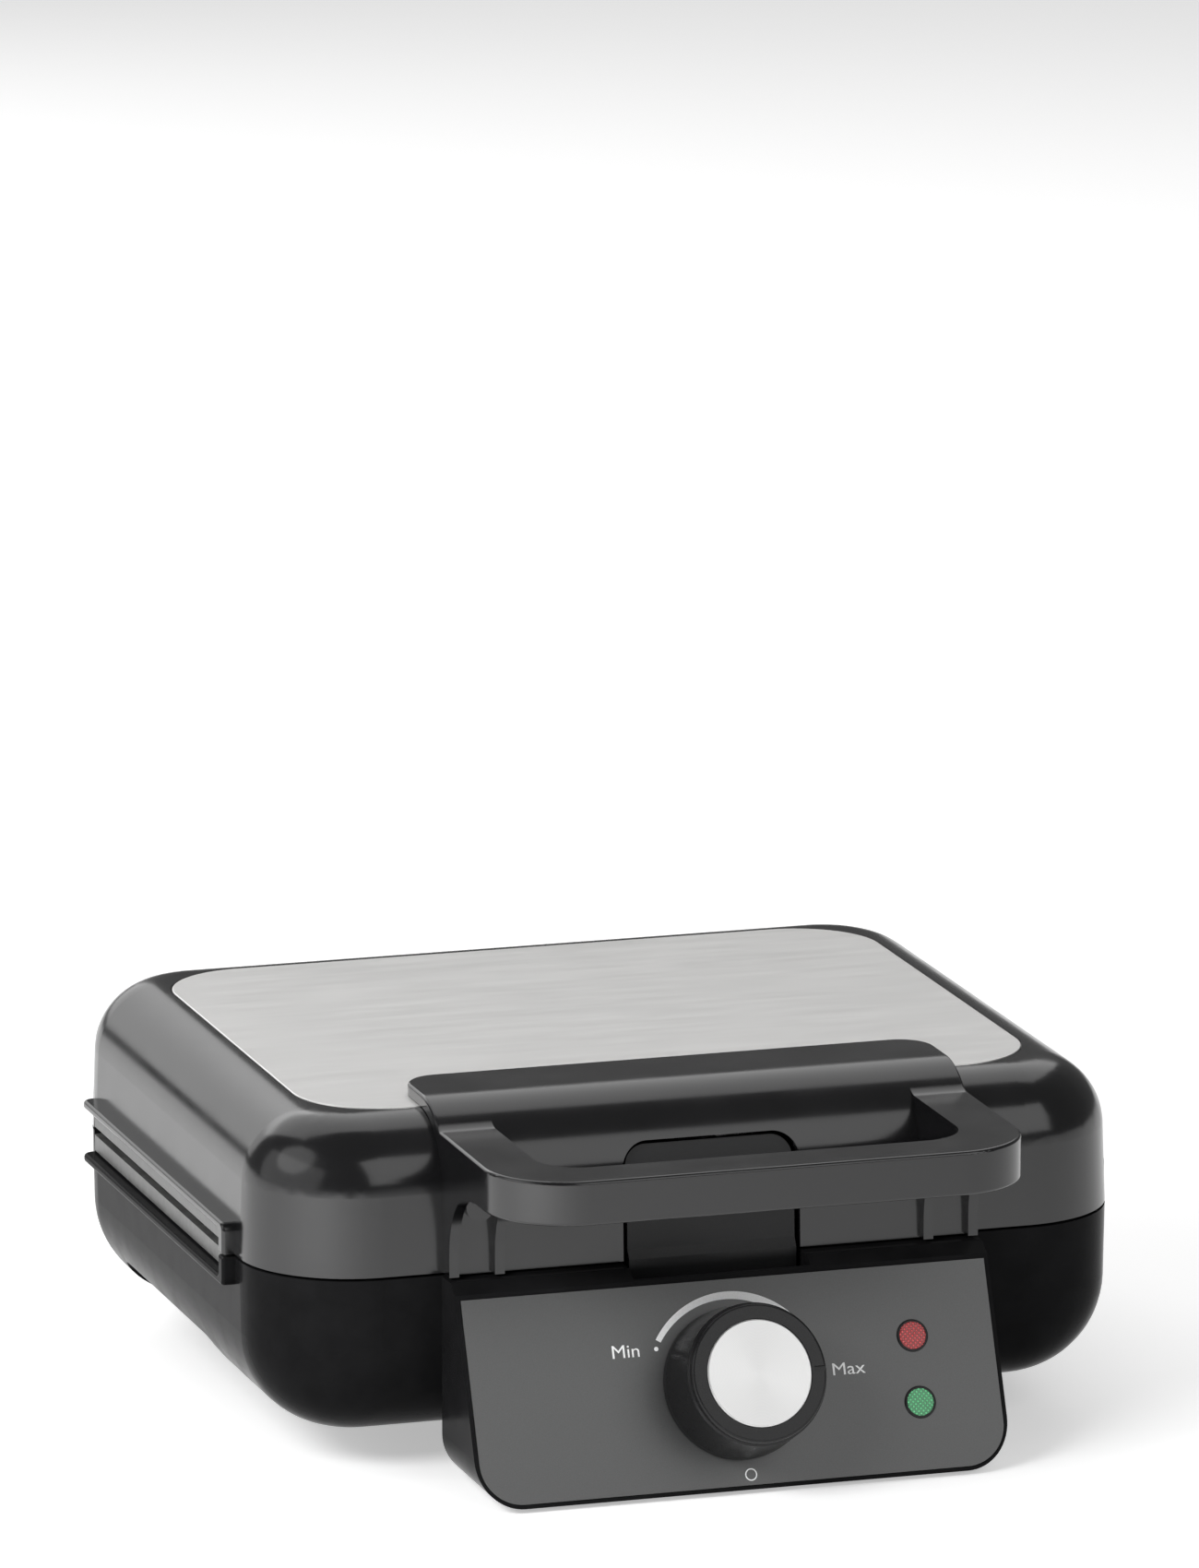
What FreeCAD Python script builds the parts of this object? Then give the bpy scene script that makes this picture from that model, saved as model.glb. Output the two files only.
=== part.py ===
import FreeCAD, Part
import Sketcher
import math
import os

# Waffle maker. X runs across, Y runs to the back, Z runs up from the table.
# Lengths are millimetres and angles are degrees.

doc = FreeCAD.newDocument("waffle_maker")
sheet = doc.addObject("Spreadsheet::Sheet", "dims")

sizes = {
    # outer body
    "body_width": 250.0,
    "body_depth": 212.0,
    "corner_radius": 31.6,
    "wall": 2.6,
    "seam_height": 59.0,
    "seam_gap": 0.8,
    # lid
    "lid_height": 101.4,
    "lid_edge_radius": 20.0,
    "lid_draft": 2.0,
    "steel_inset_side": 19.6,
    "steel_inset_end": 21.2,
    "steel_corner": 24.8,
    "steel_thickness": 1.0,
    "steel_proud": 0.2,
    "steel_gap": 0.4,
    # base pan
    "base_floor": 11.0,
    "base_edge_radius": 28.0,
    "base_draft": 1.0,
    "channel_setback": 74.0,
    "channel_length": 96.0,
    "channel_slope": 10.0,
    "channel_roof": 25.0,
    "channel_round": 12.0,
    "vent_length": 60.0,
    "vent_width": 4.0,
    "vent_pitch": 13.0,
    # side windows and their lips
    "window_front_inset": 40.6,
    "window_rear_inset": 28.5,
    "window_top": 66.2,
    "window_bottom": 53.0,
    "lip_width": 2.4,
    "lip_reach": 3.6,
    "lip_round": 0.9,
    "lip_end_round": 3.2,
    "post_width": 4.4,
    # hinge
    "hinge_set": 7.0,
    "hinge_span": 140.0,
    "knuckle_radius": 5.5,
    "knuckle_width": 16.0,
    "ear_width": 8.0,
    "hinge_side_gap": 0.4,
    "hinge_pin_radius": 2.2,
    "web_height": 14.0,
    "running_fit": 0.05,
    # handle
    "handle_reach": 60.4,
    "handle_width": 152.4,
    "handle_skin": 3.2,
    "handle_seat": 0.1,
    "band_back": 42.0,
    "band_rise": 3.6,
    "band_corner": 10.0,
    "bar_top": 98.6,
    "bar_height": 12.3,
    "bar_depth": 15.0,
    "arm_width": 15.8,
    "arm_wall": 2.8,
    "arm_roof": 3.0,
    "loop_outer_round": 23.0,
    "loop_inner_round": 13.0,
    "bar_edge_round": 0.9,
    "arm_root_round": 7.0,
    "leg_depth": 6.0,
    "leg_round": 20.0,
    # latch
    "latch_slot_width": 51.0,
    "latch_slot_top": 92.6,
    "latch_slot_round": 7.5,
    "latch_gap": 1.4,
    "latch_thickness": 2.6,
    "latch_recess": 0.9,
    "latch_tail": 10.0,
    "latch_pin_set": 5.5,
    "latch_pin_height": 16.2,
    "latch_pin_radius": 1.5,
    "latch_ear_width": 4.0,
    "latch_ear_span": 38.0,
    "pin_block_width": 4.5,
    "pin_block_gap": 1.0,
    "spring_width": 10.0,
    "spring_thickness": 0.5,
    # control housing, measured on its sloping front
    "housing_width": 153.2,
    "housing_foot": 1.4,
    "housing_round": 13.0,
    "ledge_depth": 8.0,
    "panel_top_reach": 13.6,
    "panel_top_drop": 3.7,
    "panel_slope": 22.5,
    "panel_border": 1.3,
    "panel_height": 57.0,
    "panel_thickness": 2.4,
    "panel_corner": 11.7,
    "panel_gap": 0.3,
    "notch_floor": 46.0,
    "notch_depth": 12.0,
    "lead_hole_radius": 5.0,
    # dial and lamps, measured up the panel from its lower edge
    "dial_height": 28.0,
    "dial_base_radius": 21.0,
    "dial_face_radius": 19.1,
    "dial_depth": 22.2,
    "dial_lift": 0.7,
    "dial_cap_radius": 14.9,
    "dial_cap_thickness": 1.4,
    "pointer_width": 1.4,
    "spindle_radius": 3.0,
    "spindle_bush": 4.2,
    "thermostat_radius": 12.5,
    "thermostat_depth": 10.0,
    "lamp_side": 52.0,
    "lamp_spacing": 18.5,
    "lamp_radius": 3.9,
    "lamp_gap": 0.5,
    "bulb_radius": 2.6,
    "bulb_length": 9.0,
    # waffle plates
    "plate_width": 243.0,
    "plate_depth": 165.0,
    "plate_corner": 12.0,
    "plate_flange": 7.0,
    "rim_width": 250.4,
    "rim_thickness": 4.6,
    "rim_gap": 0.8,
    "plate_rest": 0.8,
    "plate_gap": 2.4,
    "well_width": 106.0,
    "well_length": 132.0,
    "well_depth": 12.0,
    "well_draft": 8.0,
    "well_corner": 9.0,
    "well_wall": 3.0,
    "well_divider": 12.0,
    "peg_size": 15.0,
    "peg_height": 9.0,
    "peg_draft": 10.0,
    "plate_screw_side": 60.0,
    "plate_screw_end": 76.0,
    # heaters and reflectors
    "element_radius": 3.2,
    "element_seat": 0.2,
    "element_half_width": 92.0,
    "element_half_depth": 52.0,
    "element_bend": 18.0,
    "element_gap": 40.0,
    "tray_depth": 19.8,
    "tray_sheet": 0.8,
    "tray_side_room": 2.6,
    "tray_end_room": 1.0,
    # fasteners and bosses
    "boss_radius": 4.0,
    "screw_radius": 1.5,
    "screw_head_radius": 3.0,
    "screw_head_depth": 2.2,
    "screw_fit": 0.05,
    "handle_screw_height": 80.0,
    "handle_boss_length": 7.0,
    "housing_screw_height": 48.0,
    "housing_screw_span": 128.0,
    # feet
    "foot_radius": 9.5,
    "foot_taper": 1.5,
    "foot_stem_radius": 2.5,
    "front_foot_span": 104.0,
    "rear_foot_span": 160.0,
    "foot_setback": 36.0,
    # cord gland and wiring
    "gland_width": 10.0,
    "gland_height": 17.0,
    "gland_flange": 2.0,
    "gland_bore": 3.6,
    "gland_fit": 0.1,
    "terminal_length": 26.0,
    "terminal_width": 12.0,
    "terminal_height": 10.0,
    "fuse_radius": 2.2,
    "fuse_length": 20.0,
    "lead_radius": 1.8,
}

for row, (name, value) in enumerate(sizes.items(), start=1):
    sheet.set("A%d" % row, name)
    sheet.set("B%d" % row, str(value))
    sheet.setAlias("B%d" % row, name)
doc.recompute()


class Size:
    # A length with its number and the sheet expression that gives it.
    def __init__(self, value, words):
        self.value = value
        self.words = words

    def __add__(self, other):
        return Size(self.value + num(other), "(%s + %s)" % (self.words, words(other)))

    def __radd__(self, other):
        return Size(num(other) + self.value, "(%s + %s)" % (words(other), self.words))

    def __sub__(self, other):
        return Size(self.value - num(other), "(%s - %s)" % (self.words, words(other)))

    def __rsub__(self, other):
        return Size(num(other) - self.value, "(%s - %s)" % (words(other), self.words))

    def __mul__(self, other):
        return Size(self.value * num(other), "(%s * %s)" % (self.words, words(other)))

    __rmul__ = __mul__

    def __truediv__(self, other):
        return Size(self.value / num(other), "(%s / %s)" % (self.words, words(other)))

    def __rtruediv__(self, other):
        return Size(num(other) / self.value, "(%s / %s)" % (words(other), self.words))

    def __neg__(self):
        return Size(-self.value, "(0 - %s)" % self.words)


def num(size):
    return size.value if isinstance(size, Size) else float(size)


def words(size):
    return size.words if isinstance(size, Size) else "%.6f" % size


def tangent(angle):
    return Size(math.tan(math.radians(num(angle))), "tan(%s)" % words(angle))


def cosine(angle):
    return Size(math.cos(math.radians(num(angle))), "cos(%s)" % words(angle))


def sine(angle):
    return Size(math.sin(math.radians(num(angle))), "sin(%s)" % words(angle))


class Dims:
    def __getattr__(self, name):
        return Size(sizes[name], "dims.%s" % name)


d = Dims()


def bind(thing, path, size):
    if isinstance(size, Size):
        thing.setExpression(path, size.words)
    else:
        top, _, rest = path.partition(".")
        if rest:
            thing.setExpression(path, words(size))
        else:
            setattr(thing, top, size)


def newBody(label):
    body = doc.addObject("PartDesign::Body", label)
    body.Label = label
    return body


def originPlane(body, role):
    return [f for f in body.Origin.OriginFeatures if f.Role == role][0]


def newSketch(body, role, offset=0.0):
    sketch = body.newObject("Sketcher::SketchObject", "sketch")
    sketch.AttachmentSupport = [(originPlane(body, role), "")]
    sketch.MapMode = "FlatFace"
    bind(sketch, "AttachmentOffset.Base.z", offset)
    return sketch


def addRules(sketch, rules):
    # Each rule is a constraint with the size that drives it.
    first = sketch.ConstraintCount
    sketch.addConstraint([rule for rule, _ in rules])
    for index, (_, size) in enumerate(rules, start=first):
        if isinstance(size, Size):
            sketch.setExpression("Constraints[%d]" % index, size.words)


def placePoint(geometry, end, u, v):
    return [
        (Sketcher.Constraint("DistanceX", -1, 1, geometry, end, num(u)), u),
        (Sketcher.Constraint("DistanceY", -1, 1, geometry, end, num(v)), v),
    ]


def outline(sketch, corners):
    # Closed outline through the corners; a third entry rounds the corner by that radius.
    count = len(corners)
    points = [FreeCAD.Vector(num(c[0]), num(c[1]), 0) for c in corners]
    reach, leave, arcs = list(points), list(points), {}
    for i, corner in enumerate(corners):
        if len(corner) < 3:
            continue
        inward = (points[i] - points[i - 1]).normalize()
        onward = (points[(i + 1) % count] - points[i]).normalize()
        turn = math.atan2(inward.cross(onward).z, inward.dot(onward))
        radius = num(corner[2])
        run = radius * math.tan(abs(turn) / 2)
        reach[i] = points[i] - inward * run
        leave[i] = points[i] + onward * run
        side = 1 if turn > 0 else -1
        centre = reach[i] + FreeCAD.Vector(-inward.y, inward.x, 0) * radius * side
        arcs[i] = (centre, radius, side)
    base = sketch.GeometryCount
    lines = [Part.LineSegment(leave[i], reach[(i + 1) % count]) for i in range(count)]
    sketch.addGeometry(lines, False)
    rules = []
    for i, corner in enumerate(corners):
        before, after = base + (i - 1) % count, base + i
        if i not in arcs:
            rules.append((Sketcher.Constraint("Coincident", before, 2, after, 1), None))
            rules += placePoint(after, 1, corner[0], corner[1])
            continue
        centre, radius, side = arcs[i]
        first, last = (reach[i], leave[i]) if side > 0 else (leave[i], reach[i])
        start = math.atan2(first.y - centre.y, first.x - centre.x)
        stop = math.atan2(last.y - centre.y, last.x - centre.x)
        if stop < start:
            stop += 2 * math.pi
        circle = Part.Circle(centre, FreeCAD.Vector(0, 0, 1), radius)
        arc = sketch.addGeometry(Part.ArcOfCircle(circle, start, stop), False)
        point = sketch.addGeometry(Part.Point(points[i]), True)
        here, there = (1, 2) if side > 0 else (2, 1)
        rules += placePoint(point, 1, corner[0], corner[1])
        rules.append((Sketcher.Constraint("PointOnObject", point, 1, before), None))
        rules.append((Sketcher.Constraint("PointOnObject", point, 1, after), None))
        rules.append((Sketcher.Constraint("Tangent", before, 2, arc, here), None))
        rules.append((Sketcher.Constraint("Tangent", after, 1, arc, there), None))
        rules.append((Sketcher.Constraint("Radius", arc, radius), corner[2]))
    addRules(sketch, rules)


def ring(sketch, u, v, radius):
    centre = FreeCAD.Vector(num(u), num(v), 0)
    circle = Part.Circle(centre, FreeCAD.Vector(0, 0, 1), num(radius))
    index = sketch.addGeometry(circle, False)
    rules = placePoint(index, 3, u, v)
    rules.append((Sketcher.Constraint("Radius", index, num(radius)), radius))
    addRules(sketch, rules)


def rectangle(x0, x1, y0, y1, radius=None):
    corners = [(x0, y0), (x1, y0), (x1, y1), (x0, y1)]
    return corners if radius is None else [c + (radius,) for c in corners]


def grow(body, kind, sketch, length, both=False, back=False, draft=None):
    feature = body.newObject("PartDesign::" + kind, kind.lower())
    feature.Profile = sketch
    if both:
        feature.SideType = "Symmetric"
    feature.Reversed = back
    bind(feature, "Length", length)
    if draft is not None:
        bind(feature, "TaperAngle", draft)
    doc.recompute()
    return feature


def soften(body, test, radius):
    # Rounds the edges of the finished body so far that pass the test.
    tip = body.Tip
    names = ["Edge%d" % i for i, edge in enumerate(tip.Shape.Edges, start=1) if test(edge.BoundBox)]
    feature = body.newObject("PartDesign::Fillet", "fillet")
    feature.Base = (tip, names)
    bind(feature, "Radius", radius)
    doc.recompute()
    return feature


def near(a, b, room=0.02):
    return abs(num(a) - num(b)) < room


def box(x0, x1, y0, y1, z0, z1):
    block = doc.addObject("Part::Box", "block")
    for side, low, high, axis in (("Length", x0, x1, "x"), ("Width", y0, y1, "y"), ("Height", z0, z1, "z")):
        bind(block, side, high - low)
        bind(block, "Placement.Base." + axis, low)
    return block


def rod(radius, length, x, y, z, along="z"):
    # A cylinder that starts at x, y, z and runs along one axis.
    cylinder = doc.addObject("Part::Cylinder", "rod")
    bind(cylinder, "Radius", radius)
    bind(cylinder, "Height", length)
    turns = {"z": ((0, 0, 1), 0), "x": ((0, 1, 0), 90), "y": ((1, 0, 0), -90)}
    axis, angle = turns[along]
    cylinder.Placement = FreeCAD.Placement(FreeCAD.Vector(), FreeCAD.Rotation(FreeCAD.Vector(*axis), angle))
    for name, size in (("x", x), ("y", y), ("z", z)):
        bind(cylinder, "Placement.Base." + name, size)
    return cylinder


def join(label, *pieces):
    whole = doc.addObject("Part::MultiFuse", label)
    whole.Shapes = list(pieces)
    whole.Refine = True
    whole.Label = label
    return whole


def cut(label, whole, *tools):
    tool = tools[0] if len(tools) == 1 else join(label + "_tools", *tools)
    left = doc.addObject("Part::Cut", label)
    left.Base = whole
    left.Tool = tool
    left.Refine = True
    left.Label = label
    return left


nodes = {}


def keep(name, piece):
    piece.Label = name
    nodes[name] = piece
    return piece


# Shared lines of the body
halfWidth = d.body_width / 2
front = (d.handle_reach - d.body_depth - d.hinge_set - d.knuckle_radius) / 2
rear = front + d.body_depth
middle = front + d.body_depth / 2
lidRim = d.seam_height + d.seam_gap
hingeY = rear + d.hinge_set
hingeZ = d.seam_height + d.seam_gap / 2
sides = (-1, 1)


def shellBlock(label, inset, z, height, draft, edge, down):
    # Rounded rectangle drawn out with draft, with its far edge rounded.
    body = newBody(label)
    sketch = newSketch(body, "XY_Plane", z)
    x, y0, y1 = halfWidth - inset, front + inset, rear - inset
    outline(sketch, rectangle(-x, x, y0, y1, d.corner_radius - inset))
    grow(body, "Pad", sketch, height, back=down, draft=-draft)
    far = num(z) - num(height) if down else num(z) + num(height)
    soften(body, lambda b: near(b.ZMin, far) and near(b.ZMax, far), edge)
    return body


windowFront = front + d.window_front_inset
windowRear = rear - d.window_rear_inset


def sideLip(label, z0, z1):
    # Ledge along the edge of both side windows with a post at its front end, cut back to the side walls.
    body = newBody(label)
    sketch = newSketch(body, "YZ_Plane")
    away = d.lip_width if num(z1) > num(z0) else -d.lip_width
    post = windowFront - d.post_width
    outline(sketch, [
        (post, z0), (windowFront, z0), (windowFront, z1, d.lip_width / 2), (windowRear, z1),
        (windowRear, z1 + away), (post, z1 + away, d.lip_width)])
    end = halfWidth + d.lip_reach
    grow(body, "Pad", sketch, end * 2, both=True)
    atEnd = lambda b: near(b.YMin, windowRear) and near(b.YMax, windowRear)
    onFace = lambda b: near(abs(b.XMin), end) and near(b.XMin, b.XMax)
    soften(body, lambda b: atEnd(b) and onFace(b), d.lip_end_round)
    turned = windowRear - d.lip_end_round
    soften(body, lambda b: onFace(b) and not near(b.YMin, turned), d.lip_round)
    inside = halfWidth - d.wall * 0.75
    return cut(label + "_ends", body, box(-inside, inside, front, rear, z0 - 30, z0 + 30))


def windowBox(z0, z1):
    return box(-halfWidth * 2, halfWidth * 2, windowFront, windowRear, z0, z1)


def hingeWeb(label, x, width, z, root):
    # Arm from the rear wall to the hinge barrel.
    body = newBody(label)
    sketch = newSketch(body, "YZ_Plane", x)
    tip = hingeZ + d.knuckle_radius if num(root) > num(z) else hingeZ - d.knuckle_radius
    start = rear - d.wall * 0.75
    outline(sketch, [(start, z), (hingeY, z), (hingeY, tip), (start, root)])
    grow(body, "Pad", sketch, width)
    return join(label + "_arm", body, rod(d.knuckle_radius, width, x, hingeY, hingeZ, "x"))


# Waffle plate heights
lowerFace = d.seam_height - d.plate_rest
upperFace = lowerFace + d.plate_gap
bossSpots = [(d.plate_screw_side * sx, middle + d.plate_screw_end * sy) for sx in sides for sy in sides]
pilot = d.screw_radius + d.screw_fit

# Lid shell
lidTop = d.lid_height
lidOuter = shellBlock("lid_outer", 0.0, lidRim, lidTop - lidRim, d.lid_draft, d.lid_edge_radius, False)
lidInner = shellBlock("lid_inner", d.wall, lidRim - 0.01, lidTop - lidRim - d.wall, d.lid_draft,
                      d.lid_edge_radius - d.wall, False)
steelX = halfWidth - d.steel_inset_side
steelY0, steelY1 = front + d.steel_inset_end, rear - d.steel_inset_end
steelFloor = lidTop + d.steel_proud - d.steel_thickness


def steelBlock(label, room, height):
    body = newBody(label)
    sketch = newSketch(body, "XY_Plane", steelFloor)
    x, y0, y1 = steelX + room, steelY0 - room, steelY1 + room
    outline(sketch, rectangle(-x, x, y0, y1, d.steel_corner + room))
    grow(body, "Pad", sketch, height)
    return body


slotHalf = d.latch_slot_width / 2
latchPinZ = lidRim + d.latch_pin_height
latchPinY = front + d.latch_pin_set
lidHollow = cut("lid_hollow", lidOuter, lidInner, windowBox(lidRim - 1, d.window_top),
                steelBlock("steel_recess", d.steel_gap, 5.0),
                box(-slotHalf, slotHalf, front - 5, front + 9, lidRim - 1, d.latch_slot_top))
lidWebs = [hingeWeb("lid_web", d.hinge_span * side / 2 - d.knuckle_width / 2, d.knuckle_width, lidRim,
                    lidRim + d.web_height) for side in sides]
upperBack = upperFace + d.plate_flange
lidBosses = [rod(d.boss_radius, lidTop - d.wall / 2 - upperBack, x, y, upperBack) for x, y in bossSpots]
blockInner = slotHalf + d.pin_block_gap
blockOuter = blockInner + d.pin_block_width
pinBlocks = [box(x0, x1, front + d.wall * 0.7, latchPinY + 4.0, latchPinZ - 5, latchPinZ + 5)
             for x0, x1 in ((-blockOuter, -blockInner), (blockInner, blockOuter))]
springSeatY = front + 12.5
springSeat = box(-d.spring_width / 2 - 1, d.spring_width / 2 + 1, springSeatY, springSeatY + 3,
                 latchPinZ + 8, lidTop - d.wall / 2)
lidSolid = join("lid_solid", lidHollow, sideLip("lid_lip", lidRim, d.window_top), *lidWebs, *lidBosses,
                *pinBlocks, springSeat)
latchPinLength = blockOuter * 2
handleScrewX = d.handle_width / 2 - d.arm_width / 2
handleScrewZ = d.handle_screw_height
handleScrewHoles = [rod(pilot, 30.0, handleScrewX * side, front - 20, handleScrewZ, "y") for side in sides]
lidShell = keep("lid_shell", cut(
    "lid_shell", lidSolid,
    rod(d.hinge_pin_radius + d.running_fit, d.body_width, -halfWidth, hingeY, hingeZ, "x"),
    rod(d.latch_pin_radius + d.running_fit, latchPinLength, -latchPinLength / 2, latchPinY, latchPinZ, "x"),
    *handleScrewHoles,
    *[rod(pilot, 12.0, x, y, upperBack - 1) for x, y in bossSpots]))

# Brushed steel top panel
steelPanel = keep("steel_top_panel", steelBlock("steel_top_panel", 0.0, d.steel_thickness))
soften(steelPanel, lambda b: near(b.ZMin, b.ZMax) and near(b.ZMax, lidTop + d.steel_proud), d.steel_proud * 2)

# Handle: band over the lid's front edge, two hollow arms and the grip bar in one moulding
handle = newBody("handle")
bandTop = lidTop + d.band_rise
lean = tangent(d.lid_draft)
skinFront = front - d.handle_skin
sketch = newSketch(handle, "YZ_Plane")
outline(sketch, [
    (skinFront, lidRim),
    (front + d.band_back, lidRim),
    (front + d.band_back, bandTop),
    (skinFront + (bandTop - lidRim) * lean, bandTop, d.lid_edge_radius + d.handle_skin)])
grow(handle, "Pad", sketch, d.handle_width, both=True)
bandEnd = front + d.band_back
soften(handle, lambda b: near(b.XMin, b.XMax) and near(b.YMin, bandEnd) and near(b.YMax, bandEnd), d.band_corner)
barFront = front - d.handle_reach
barBottom = d.bar_top - d.bar_height
armOut, armIn = d.handle_width / 2, d.handle_width / 2 - d.arm_width
armRoot = front + d.lid_edge_radius / 2
sketch = newSketch(handle, "XY_Plane", barBottom)
outline(sketch, [
    (-armOut, armRoot), (-armOut, barFront, d.loop_outer_round), (armOut, barFront, d.loop_outer_round),
    (armOut, armRoot), (armIn, armRoot), (armIn, barFront + d.bar_depth, d.loop_inner_round),
    (-armIn, barFront + d.bar_depth, d.loop_inner_round), (-armIn, armRoot)])
grow(handle, "Pad", sketch, d.bar_height)
soften(handle, lambda b: near(b.ZMin, d.bar_top) and near(b.ZMax, d.bar_top) and b.YMin > num(front) - 5
       and near(b.YMin, b.YMax), d.arm_root_round)
soften(handle, lambda b: near(b.ZMin, b.ZMax) and (
    (near(b.YMin, barFront) and (near(b.ZMax, d.bar_top) or near(b.ZMax, barBottom)))
    or (near(b.ZMax, barBottom) and near(b.YMin, barFront + d.bar_depth))), d.bar_edge_round)
legFront = front - d.leg_depth
for x in (armIn, armOut - d.arm_wall, -armOut, -armIn - d.arm_wall):
    sketch = newSketch(handle, "YZ_Plane", x)
    tail = legFront - d.leg_round - 3
    outline(sketch, [
        (front + 1, lidRim), (front + 1, barBottom + 2), (tail, barBottom + 2), (tail, barBottom),
        (legFront, barBottom, d.leg_round), (legFront, lidRim)])
    grow(handle, "Pad", sketch, d.arm_wall)
sketch = newSketch(handle, "XY_Plane", barBottom)
for side in sides:
    low, high = armIn + d.arm_wall, armOut - d.arm_wall
    x0, x1 = (low, high) if side > 0 else (-high, -low)
    outline(sketch, rectangle(x0, x1, barFront + d.bar_depth + 4, skinFront + 0.5))
grow(handle, "Pocket", sketch, d.bar_height - d.arm_roof, back=True)
for side in sides:
    sketch = newSketch(handle, "XZ_Plane", -skinFront - 1)
    ring(sketch, handleScrewX * side, handleScrewZ, d.boss_radius)
    grow(handle, "Pad", sketch, d.handle_boss_length)
sketch = newSketch(handle, "YZ_Plane")
seat = d.handle_seat
seatTop = lidTop + d.steel_proud + seat
outline(sketch, [
    (front - seat, lidRim - 5),
    (front + 80, lidRim - 5),
    (front + 80, seatTop),
    (front - seat + (seatTop - lidRim) * lean, seatTop, d.lid_edge_radius + seat),
    (front - seat, lidRim)])
grow(handle, "Pocket", sketch, d.body_width, both=True)
sketch = newSketch(handle, "XZ_Plane", -front + 12)
outline(sketch, [
    (-slotHalf, lidRim - 5), (slotHalf, lidRim - 5), (slotHalf, d.latch_slot_top, d.latch_slot_round),
    (-slotHalf, d.latch_slot_top, d.latch_slot_round)])
grow(handle, "Pocket", sketch, 30.0)
sketch = newSketch(handle, "XZ_Plane", -front - 5)
for side in sides:
    ring(sketch, handleScrewX * side, handleScrewZ, pilot)
grow(handle, "Pocket", sketch, d.handle_boss_length + 4, back=True)
keep("handle", handle)

# Latch: dark tab in the band's slot, on a cross pin, with a tail that drops into the housing notch
latch = newBody("latch")
latchHalf = slotHalf - d.latch_gap
latchTop = d.latch_slot_top - d.latch_gap
face = skinFront + d.latch_recess
back = face + d.latch_thickness
kink = lidRim + 20
tail0 = d.seam_height - d.latch_tail
sketch = newSketch(latch, "YZ_Plane")
outline(sketch, [
    (face - 1.6, tail0), (back - 2.6, tail0), (back - 2.6, d.seam_height + 1.6), (back, lidRim + 4),
    (back + 0.7, kink), (back + 4.2, latchTop), (face + 4.2, latchTop), (face + 0.7, kink),
    (face, lidRim + 3.0), (face - 1.6, lidRim + 0.4)])
grow(latch, "Pad", sketch, latchHalf * 2, both=True)
soften(latch, lambda b: near(b.XMin, b.XMax) and near(b.ZMin, latchTop) and near(b.ZMax, latchTop),
       d.latch_slot_round - d.latch_gap)
for x in (d.latch_ear_span / 2 - d.latch_ear_width, -d.latch_ear_span / 2):
    sketch = newSketch(latch, "YZ_Plane", x)
    tip = latchPinY + 3.6
    outline(sketch, [(back - 1, latchPinZ - 4.4), (tip, latchPinZ - 4, 3.2), (tip, latchPinZ + 4, 3.2),
                     (back - 1, latchPinZ + 4.4)])
    ring(sketch, latchPinY, latchPinZ, d.latch_pin_radius + d.running_fit)
    grow(latch, "Pad", sketch, d.latch_ear_width)
keep("latch", latch)
keep("latch_pin", rod(d.latch_pin_radius, latchPinLength, -latchPinLength / 2, latchPinY, latchPinZ, "x"))

# Leaf spring between its seat on the lid and the back of the latch
spring = newBody("latch_spring")
sketch = newSketch(spring, "YZ_Plane")
springBend = latchPinZ + 8
tipY, tipZ = back + 4.4, latchTop - 3
strip = d.spring_thickness
outline(sketch, [
    (springSeatY, springBend + 10), (springSeatY - strip, springBend + 10), (springSeatY - strip, springBend + strip),
    (tipY + strip, tipZ), (tipY, tipZ - strip), (springSeatY - strip, springBend - strip), (springSeatY, springBend)])
grow(spring, "Pad", sketch, d.spring_width, both=True)
keep("latch_spring", spring)

# Base shell: pan with a cross channel underneath and lowered, lipped sides
baseTop = d.seam_height
baseOuter = shellBlock("base_outer", 0.0, baseTop, baseTop - d.base_floor, d.base_draft, d.base_edge_radius, True)
baseInner = shellBlock("base_inner", d.wall, baseTop + 0.01, baseTop - d.base_floor - d.wall, d.base_draft,
                       d.base_edge_radius - d.wall, True)
channelFront = front + d.channel_setback
channelRear = channelFront + d.channel_length


def channelBlock(label, room):
    body = newBody(label)
    sketch = newSketch(body, "YZ_Plane")
    top, round_ = d.channel_roof + room, d.channel_round + room
    outline(sketch, [
        (channelFront - d.channel_slope - room, -5.0), (channelRear + d.channel_slope + room, -5.0),
        (channelRear + room, top, round_), (channelFront - room, top, round_)])
    grow(body, "Pad", sketch, d.body_width + 40, both=True)
    return body


panArched = cut("base_arched", baseOuter, channelBlock("base_channel", 0.0))
cavity = cut("base_cavity", baseInner, channelBlock("base_channel_roof", d.wall))
panSolid = cut("base_pan", panArched, cavity, windowBox(d.window_bottom, baseTop + 5))
lowerBack = lowerFace - d.plate_flange
floorMid = d.base_floor + d.wall / 2
baseBosses = [rod(d.boss_radius, lowerBack - floorMid, x, y, floorMid) for x, y in bossSpots]
earShift = d.knuckle_width / 2 + d.hinge_side_gap
baseWebs = []
for side in sides:
    for x in (d.hinge_span * side / 2 + earShift, d.hinge_span * side / 2 - earShift - d.ear_width):
        baseWebs.append(hingeWeb("base_web", x, d.ear_width, baseTop, baseTop - d.web_height))
footSpots = {
    "front_left": (-d.front_foot_span / 2, front + d.foot_setback),
    "front_right": (d.front_foot_span / 2, front + d.foot_setback),
    "rear_left": (-d.rear_foot_span / 2, rear - d.foot_setback),
    "rear_right": (d.rear_foot_span / 2, rear - d.foot_setback),
}
channelMiddle = channelFront + d.channel_length / 2
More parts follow.
